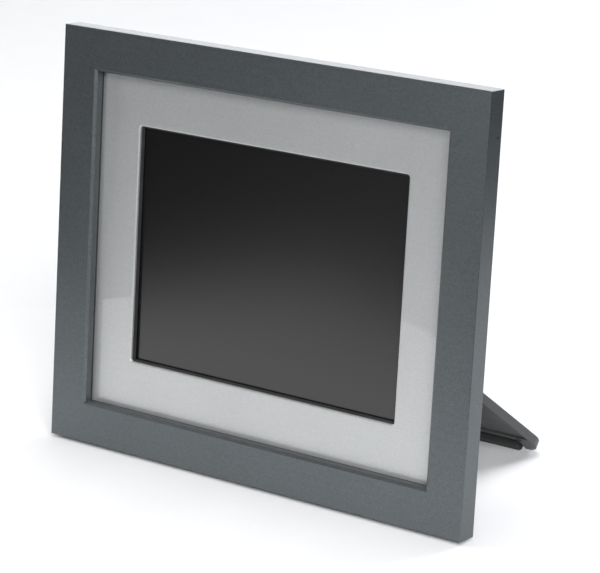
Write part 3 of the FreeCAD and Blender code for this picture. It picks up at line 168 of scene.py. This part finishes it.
def brushed(name, dark, light, size, roughness, relief, **settings):
    """Rolled or turned metal: grain drawn out along X, with a cloudy gloss."""
    finish = Finish(name)
    streaks = finish.noise(size, 3.0, (0.06, 1.0, 1.0))
    colour = finish.tones(streaks, (0.3, dark), (0.7, light))
    gloss = finish.span(finish.noise(size * 30), 0.3, 0.7, roughness - 0.08, roughness + 0.08)
    return finish.done(colour, gloss, finish.relief(streaks, relief), **settings)


def spark_texture(name, dark, light, size, roughness, relief, **settings):
    """Moulded plastic with an eroded texture: rounded pits of two sizes and a scuffed gloss."""
    finish = Finish(name)
    pits = finish.cells(size, "Distance")
    fine = finish.noise(size * 0.5, 3.0)
    scuff = finish.noise(22 * MM, 5.0)
    colour = finish.tones(finish.sum(fine, finish.sum(scuff, 0.5, "SUBTRACT")), (0.25, dark), (0.8, light))
    gloss = finish.span(scuff, 0.35, 0.7, roughness - 0.07, roughness + 0.06)
    normal = finish.relief(fine, relief * 0.5, 0.7, finish.relief(pits, relief))
    return finish.done(colour, gloss, normal, **settings)


def display_face(name):
    """The dark display's matt face film: fine anti-glare grain, a few specks of dust, two faint smears."""
    finish = Finish(name)
    spots = finish.cells(7.5 * MM, "Distance")
    chosen = finish.span(finish.cells(7.5 * MM), 0.62, 0.64, 0.0, 1.0)
    speck = finish.sum(finish.span(spots, 0.016, 0.03, 1.0, 0.0), chosen, "MULTIPLY")
    lint = finish.span(finish.noise(9 * MM, 6.0, (1.0, 1.0, 0.25)), 0.74, 0.8, 0.0, 0.35)
    dust = finish.sum(speck, lint, "MAXIMUM")
    colour = finish.blend(dust, (0.0045, 0.004, 0.0042), (0.16, 0.165, 0.17))
    gloss = finish.span(dust, 0.0, 1.0, 0.215, 0.6)
    film = finish.relief(finish.noise(0.12 * MM), 0.0006 * MM)
    return finish.done(colour, gloss, film, ior=1.76)


FINISHES = {
    "graphite_paint": flake_paint(
        "graphite_paint", (0.106, 0.119, 0.125), (0.142, 0.158, 0.166), 0.4 * MM, 0.355, 0.003 * MM,
        metallic=0.77, ior=1.6,
    ),
    "silver_paint": flake_paint(
        "silver_paint", (0.495, 0.505, 0.508), (0.56, 0.57, 0.573), 0.4 * MM, 0.41, 0.002 * MM,
        metallic=0.64, coat_weight=1.0, coat_roughness=0.02, coat_ior=1.6,
    ),
    "screen_glass": display_face("screen_glass"),
    "black_foam": grained(
        "black_foam", (0.012, 0.012, 0.012), (0.03, 0.03, 0.03), 0.35 * MM, 0.92, 0.08 * MM
    ),
    "black_plastic": spark_texture(
        "black_plastic", (0.012, 0.012, 0.013), (0.022, 0.022, 0.024), 0.5 * MM, 0.5, 0.02 * MM
    ),
    "charcoal_plastic": spark_texture(
        "charcoal_plastic", (0.046, 0.0475, 0.05), (0.058, 0.06, 0.063), 0.55 * MM, 0.46, 0.02 * MM
    ),
    "button_plastic": grained(
        "button_plastic", (0.05, 0.052, 0.055), (0.07, 0.072, 0.076), 0.3 * MM, 0.34, 0.004 * MM
    ),
    "foot_rubber": grained(
        "foot_rubber", (0.025, 0.025, 0.025), (0.04, 0.04, 0.04), 0.4 * MM, 0.72, 0.03 * MM
    ),
    "bush_nylon": grained(
        "bush_nylon", (0.6, 0.59, 0.55), (0.7, 0.69, 0.65), 0.4 * MM, 0.45, 0.005 * MM
    ),
    "sheet_steel": brushed(
        "sheet_steel", (0.5, 0.51, 0.52), (0.66, 0.67, 0.68), 0.25 * MM, 0.38, 0.004 * MM, metallic=1.0
    ),
    "socket_metal": brushed(
        "socket_metal", (0.6, 0.6, 0.6), (0.74, 0.74, 0.73), 0.15 * MM, 0.27, 0.003 * MM, metallic=1.0
    ),
    "screw_steel": brushed(
        "screw_steel", (0.07, 0.07, 0.075), (0.13, 0.13, 0.135), 0.15 * MM, 0.36, 0.006 * MM, metallic=0.9
    ),
    "brass": brushed(
        "brass", (0.62, 0.47, 0.2), (0.76, 0.6, 0.3), 0.15 * MM, 0.3, 0.004 * MM, metallic=1.0
    ),
    "capacitor_can": brushed(
        "capacitor_can", (0.55, 0.56, 0.58), (0.7, 0.71, 0.73), 0.2 * MM, 0.33, 0.003 * MM, metallic=1.0
    ),
    "diffuser_film": grained(
        "diffuser_film", (0.78, 0.8, 0.8), (0.88, 0.89, 0.89), 0.2 * MM, 0.5, 0.002 * MM
    ),
    "clear_acrylic": grained(
        "clear_acrylic", (0.9, 0.94, 0.93), (0.96, 0.98, 0.98), 3 * MM, 0.12, 0.001 * MM,
        transmission_weight=0.9, ior=1.49,
    ),
    "lamp_glass": grained(
        "lamp_glass", (0.85, 0.86, 0.84), (0.95, 0.95, 0.93), 1 * MM, 0.3, 0.001 * MM, transmission_weight=0.3
    ),
    "circuit_board": grained(
        "circuit_board", (0.008, 0.07, 0.03), (0.015, 0.13, 0.05), 1.2 * MM, 0.35, 0.01 * MM, coat_weight=0.4
    ),
    "chip_black": spark_texture(
        "chip_black", (0.015, 0.015, 0.016), (0.03, 0.03, 0.032), 0.25 * MM, 0.48, 0.006 * MM
    ),
    "ribbon_film": grained(
        "ribbon_film", (0.42, 0.17, 0.03), (0.58, 0.27, 0.06), 1.5 * MM, 0.28, 0.002 * MM
    ),
    "contact_white": grained(
        "contact_white", (0.74, 0.73, 0.69), (0.82, 0.81, 0.78), 0.4 * MM, 0.42, 0.004 * MM
    ),
    "cone_paper": grained(
        "cone_paper", (0.03, 0.03, 0.03), (0.065, 0.063, 0.06), 0.6 * MM, 0.85, 0.05 * MM
    ),
}

for subpart in frame["record"]["subparts"]:
    for place in frame["nodes"][subpart["node"]].material_slots:
        place.material = FINISHES[subpart["material_slot"]]


# ---- fine pieces: raised marks on the buttons and the contacts in the data socket -------------------

# The panel leans back, so the marks are placed along the panel's own three directions. The stand's
# hinge is the known point: it lies HINGE_BACK behind the panel's face and HINGE_UP above its edge.
LEAN = math.radians(5.26)
HINGE = np.array(next(joint for joint in frame["joints"] if joint["name"] == "stand_hinge")["pos_m"])
RIGHT = np.array((1.0, 0.0, 0.0))
BACK = np.array((0.0, math.cos(LEAN), -math.sin(LEAN)))
UP = np.array((0.0, math.sin(LEAN), math.cos(LEAN)))
HINGE_BACK = 28.0
HINGE_UP = 81.9


# Millimetres on the panel, except for CORNER: how far a triangle's corner reaches for a size of 1.
CORNER = 1.55
BUTTON_BACK = 32.2
BUTTON_UP = 96.0
BUTTON_PITCH = 17.0
LINE_SPACING = 1.1
LINE_HALF = 1.5
TRIANGLE_SIZE = 0.9
CONTACT_BACK = 15.8
CONTACT_START = 101.0
CONTACT_END = 109.6
CONTACT_HEIGHTS = (38.5, 41.0, 43.0, 45.5)


def panel_point(across, back, up):
    """A place on the leaning panel: millimetres to the right, back from its face and up from its edge."""
    return HINGE + MM * (across * RIGHT + (back - HINGE_BACK) * BACK + (up - HINGE_UP) * UP)


def bead(name, path, half_width, height, closed, body, slot):
    """A low rounded bead along a path that lies in the panel's plane, sunk in by half its height.

    At angle a round the path, a point is centre + half_width * cos(a) * side + height * sin(a) * BACK.
    An open path's last points shrink as a half circle does, so that its ends are round.
    """
    path = np.array(path)
    ahead, behind = np.roll(path, -1, axis=0), np.roll(path, 1, axis=0)
    if not closed:
        ahead[-1], behind[0] = path[-1], path[0]
    run = ahead - behind
    run /= np.linalg.norm(run, axis=1, keepdims=True)
    side = np.cross(run, BACK)
    size = np.ones(len(path))
    if not closed:
        travel = np.r_[0.0, np.cumsum(np.linalg.norm(np.diff(path, axis=0), axis=1))]
        gap = np.minimum(travel, travel[-1] - travel)
        size = np.sqrt(np.clip(1.0 - np.clip(1.0 - gap / half_width, 0.0, 1.0) ** 2, 0.002, 1.0))
    angle = np.linspace(0.0, 2 * math.pi, 12, endpoint=False)
    wide = half_width * np.cos(angle)[None, :, None] * side[:, None, :]
    high = height * np.sin(angle)[None, :, None] * BACK[None, None, :]
    points = path[:, None, :] + size[:, None, None] * (wide + high)
    rings, sides = len(path), len(angle)
    ring = np.arange(rings if closed else rings - 1)[:, None]
    corner = np.arange(sides)[None, :]
    next_ring, next_corner = (ring + 1) % rings, (corner + 1) % sides
    around = ((ring, corner), (next_ring, corner), (next_ring, next_corner), (ring, next_corner))
    faces = np.stack([i * sides + j for i, j in around], axis=-1)
    mesh = bpy.data.meshes.new(name)
    mesh.from_pydata(points.reshape(-1, 3).tolist(), [], faces.reshape(-1, 4).tolist())
    mesh.materials.append(FINISHES[slot])
    mesh.shade_smooth()
    piece = bpy.data.objects.new(name, mesh)
    bpy.context.scene.collection.objects.link(piece)
    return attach(piece, body)


def arc(middle, radius, start, end, count):
    """Points along part of a circle, from one angle in turns to another, clockwise seen from the front."""
    x, y, z = middle
    turns = 2 * math.pi * np.linspace(start, end, count, endpoint=start + 1.0 != end)
    return [panel_point(x + radius * math.sin(t), y, z + radius * math.cos(t)) for t in turns]


def stroke(start, end, count=15):
    """Points along a straight line between two places on the panel."""
    share = np.linspace(0.0, 1.0, count)[:, None]
    return panel_point(*start) * (1.0 - share) + panel_point(*end) * share


def triangle(middle, size, way):
    """A closed path round a triangle that points up or down, with blunted corners.

    Seen from its middle, the path's radius is size / cos of the angle to the nearest side, and at
    most CORNER times size.
    """
    x, y, z = middle
    points = []
    for t in np.linspace(0.0, 2 * math.pi, 48, endpoint=False):
        off = (t + math.pi / 3) % (2 * math.pi / 3) - math.pi / 3
        radius = size / max(math.cos(math.pi / 3 - abs(off)), 1.0 / CORNER)
        points.append(panel_point(x + radius * math.sin(t), y, z + way * radius * math.cos(t)))
    return points


MARK = {"half_width": 0.22 * MM, "height": 0.14 * MM, "slot": "contact_white"}


def button_middle(place):
    """The middle of a button's face, counted from the middle button."""
    return (BUTTON_PITCH * place, BUTTON_BACK, BUTTON_UP)


x, y, z = button_middle(-2)
open_ring = arc((x, y, z - 0.2), 1.5, 0.12, 0.88, 40)
bead("power_mark_ring", open_ring, closed=False, body="power_button", **MARK)
bar = stroke((x, y, z + 0.1), (x, y, z + 1.9))
bead("power_mark_bar", bar, closed=False, body="power_button", **MARK)
x, y, z = button_middle(-1)
for line in (-1, 0, 1):
    level = z + LINE_SPACING * line
    bar = stroke((x - LINE_HALF, y, level), (x + LINE_HALF, y, level))
    bead(f"menu_mark_{line + 1}", bar, closed=False, body="menu_button", **MARK)
points_up = triangle(button_middle(0), TRIANGLE_SIZE, 1)
bead("previous_mark", points_up, closed=True, body="previous_button", **MARK)
points_down = triangle(button_middle(1), TRIANGLE_SIZE, -1)
bead("next_mark", points_down, closed=True, body="next_button", **MARK)
whole_ring = arc(button_middle(2), 1.4, 0.0, 1.0, 40)
bead("enter_mark", whole_ring, closed=True, body="enter_button", **MARK)

for index, up in enumerate(CONTACT_HEIGHTS):
    strip = stroke((CONTACT_START, CONTACT_BACK, up), (CONTACT_END, CONTACT_BACK, up))
    bead(f"data_contact_{index}", strip, 0.5 * MM, 0.1 * MM, False, "panel", "brass")


# ---- stage, camera and lights ---------------------------------------------------------------------


def surface(name, corners, material):
    """A flat sheet through the given corners, in order."""
    mesh = bpy.data.meshes.new(name)
    mesh.from_pydata([tuple(corner) for corner in corners], [], [tuple(range(len(corners)))])
    mesh.materials.append(material)
    sheet = bpy.data.objects.new(name, mesh)
    bpy.context.scene.collection.objects.link(sheet)
    return sheet


paper = grained(
    "studio_paper", (0.80, 0.805, 0.815), (0.82, 0.825, 0.835), 2.0 * MM, 0.85, 0.004 * MM,
    specular_ior_level=0.1,
)
# The table ends a little way off on each side, and what is past its edges shows in the glossy parts.
table_outline = [(-0.39, -0.677), (0.636, 0.062), (-0.653, 1.844), (-3.0, 1.844), (-3.0, 0.9), (-0.39, -0.30)]
table_top = surface("table_top", [(x, y, 0.0) for x, y in table_outline], paper)
FAR = 5.0
far_corners = [(-FAR, -FAR, -MM), (FAR, -FAR, -MM), (FAR, FAR, -MM), (-FAR, FAR, -MM)]
wide_floor = surface("wide_floor", far_corners, paper)
wide_floor.visible_glossy = False
wide_floor.visible_diffuse = False
wide_floor.visible_transmission = False


def aim(thing, place, target):
    """Put a lamp or camera at a place, level across, looking at a target."""
    thing.location = place
    direction = np.array(target) - np.array(place)
    level = math.hypot(direction[0], direction[1])
    turn = math.atan2(direction[1], direction[0]) - math.pi / 2
    thing.rotation_euler = (math.pi / 2 + math.atan2(direction[2], level), 0.0, turn)
    bpy.context.scene.collection.objects.link(thing)


CAMERA_PLACE = (0.77886, -1.09613, 0.50758)
CAMERA_TARGET = (-0.00445, -0.01305, 0.09120)
lens = bpy.data.cameras.new("camera")
lens.lens = 166.77
lens.sensor_width = 36.0
camera = bpy.data.objects.new("camera", lens)
aim(camera, CAMERA_PLACE, CAMERA_TARGET)
bpy.context.scene.camera = camera

# name: place, target, width, height, power in watts, colour
LIGHTS = {
    "overhead_softbox": ((0.0, 0.1, 1.8), (0.0, 0.0, 0.0), 1.0, 1.0, 21.0, (1.0, 0.99, 0.98)),
    "backdrop_glow": ((-1.8, 2.2, 0.7), (0.0, 0.0, 0.3), 2.6, 1.4, 31.0, (0.97, 0.98, 1.0)),
    "front_softbox": ((1.6, -1.5, 1.2), (0.0, 0.0, 0.1), 1.2, 1.2, 62.0, (0.985, 0.99, 1.0)),
    "low_fill": ((-0.5, -2.0, 0.35), (0.0, 0.0, 0.1), 0.8, 0.5, 4.5, (0.97, 0.99, 1.0)),
    "left_fill": ((-2.0, -0.6, 1.0), (0.0, 0.0, 0.1), 1.2, 1.2, 19.0, (1.0, 0.99, 0.97)),
    "back_softbox": ((0.6, 2.0, 0.9), (0.0, 0.0, 0.05), 1.0, 0.8, 26.0, (0.93, 0.945, 1.0)),
}
for name, (place, target, width, height, power, colour) in LIGHTS.items():
    lamp = bpy.data.lights.new(name, "AREA")
    lamp.shape = "RECTANGLE"
    lamp.size = width
    lamp.size_y = height
    lamp.energy = power
    lamp.color = colour
    aim(bpy.data.objects.new(name, lamp), place, target)

world = bpy.data.worlds.new("studio")
world.use_nodes = True
bpy.context.scene.world = world
room = world.node_tree.nodes["Background"]
room.inputs["Color"].default_value = (0.96, 0.98, 1.0, 1.0)
room.inputs["Strength"].default_value = 0.015
white = world.node_tree.nodes.new("ShaderNodeBackground")
white.inputs["Color"].default_value = (1.0, 1.0, 1.0, 1.0)
seen = world.node_tree.nodes.new("ShaderNodeLightPath").outputs["Is Camera Ray"]
either = world.node_tree.nodes.new("ShaderNodeMixShader")
world.node_tree.links.new(seen, either.inputs[0])
world.node_tree.links.new(room.outputs[0], either.inputs[1])
world.node_tree.links.new(white.outputs[0], either.inputs[2])
world.node_tree.links.new(either.outputs[0], world.node_tree.nodes["World Output"].inputs["Surface"])
bpy.context.scene.view_settings.view_transform = "Standard"
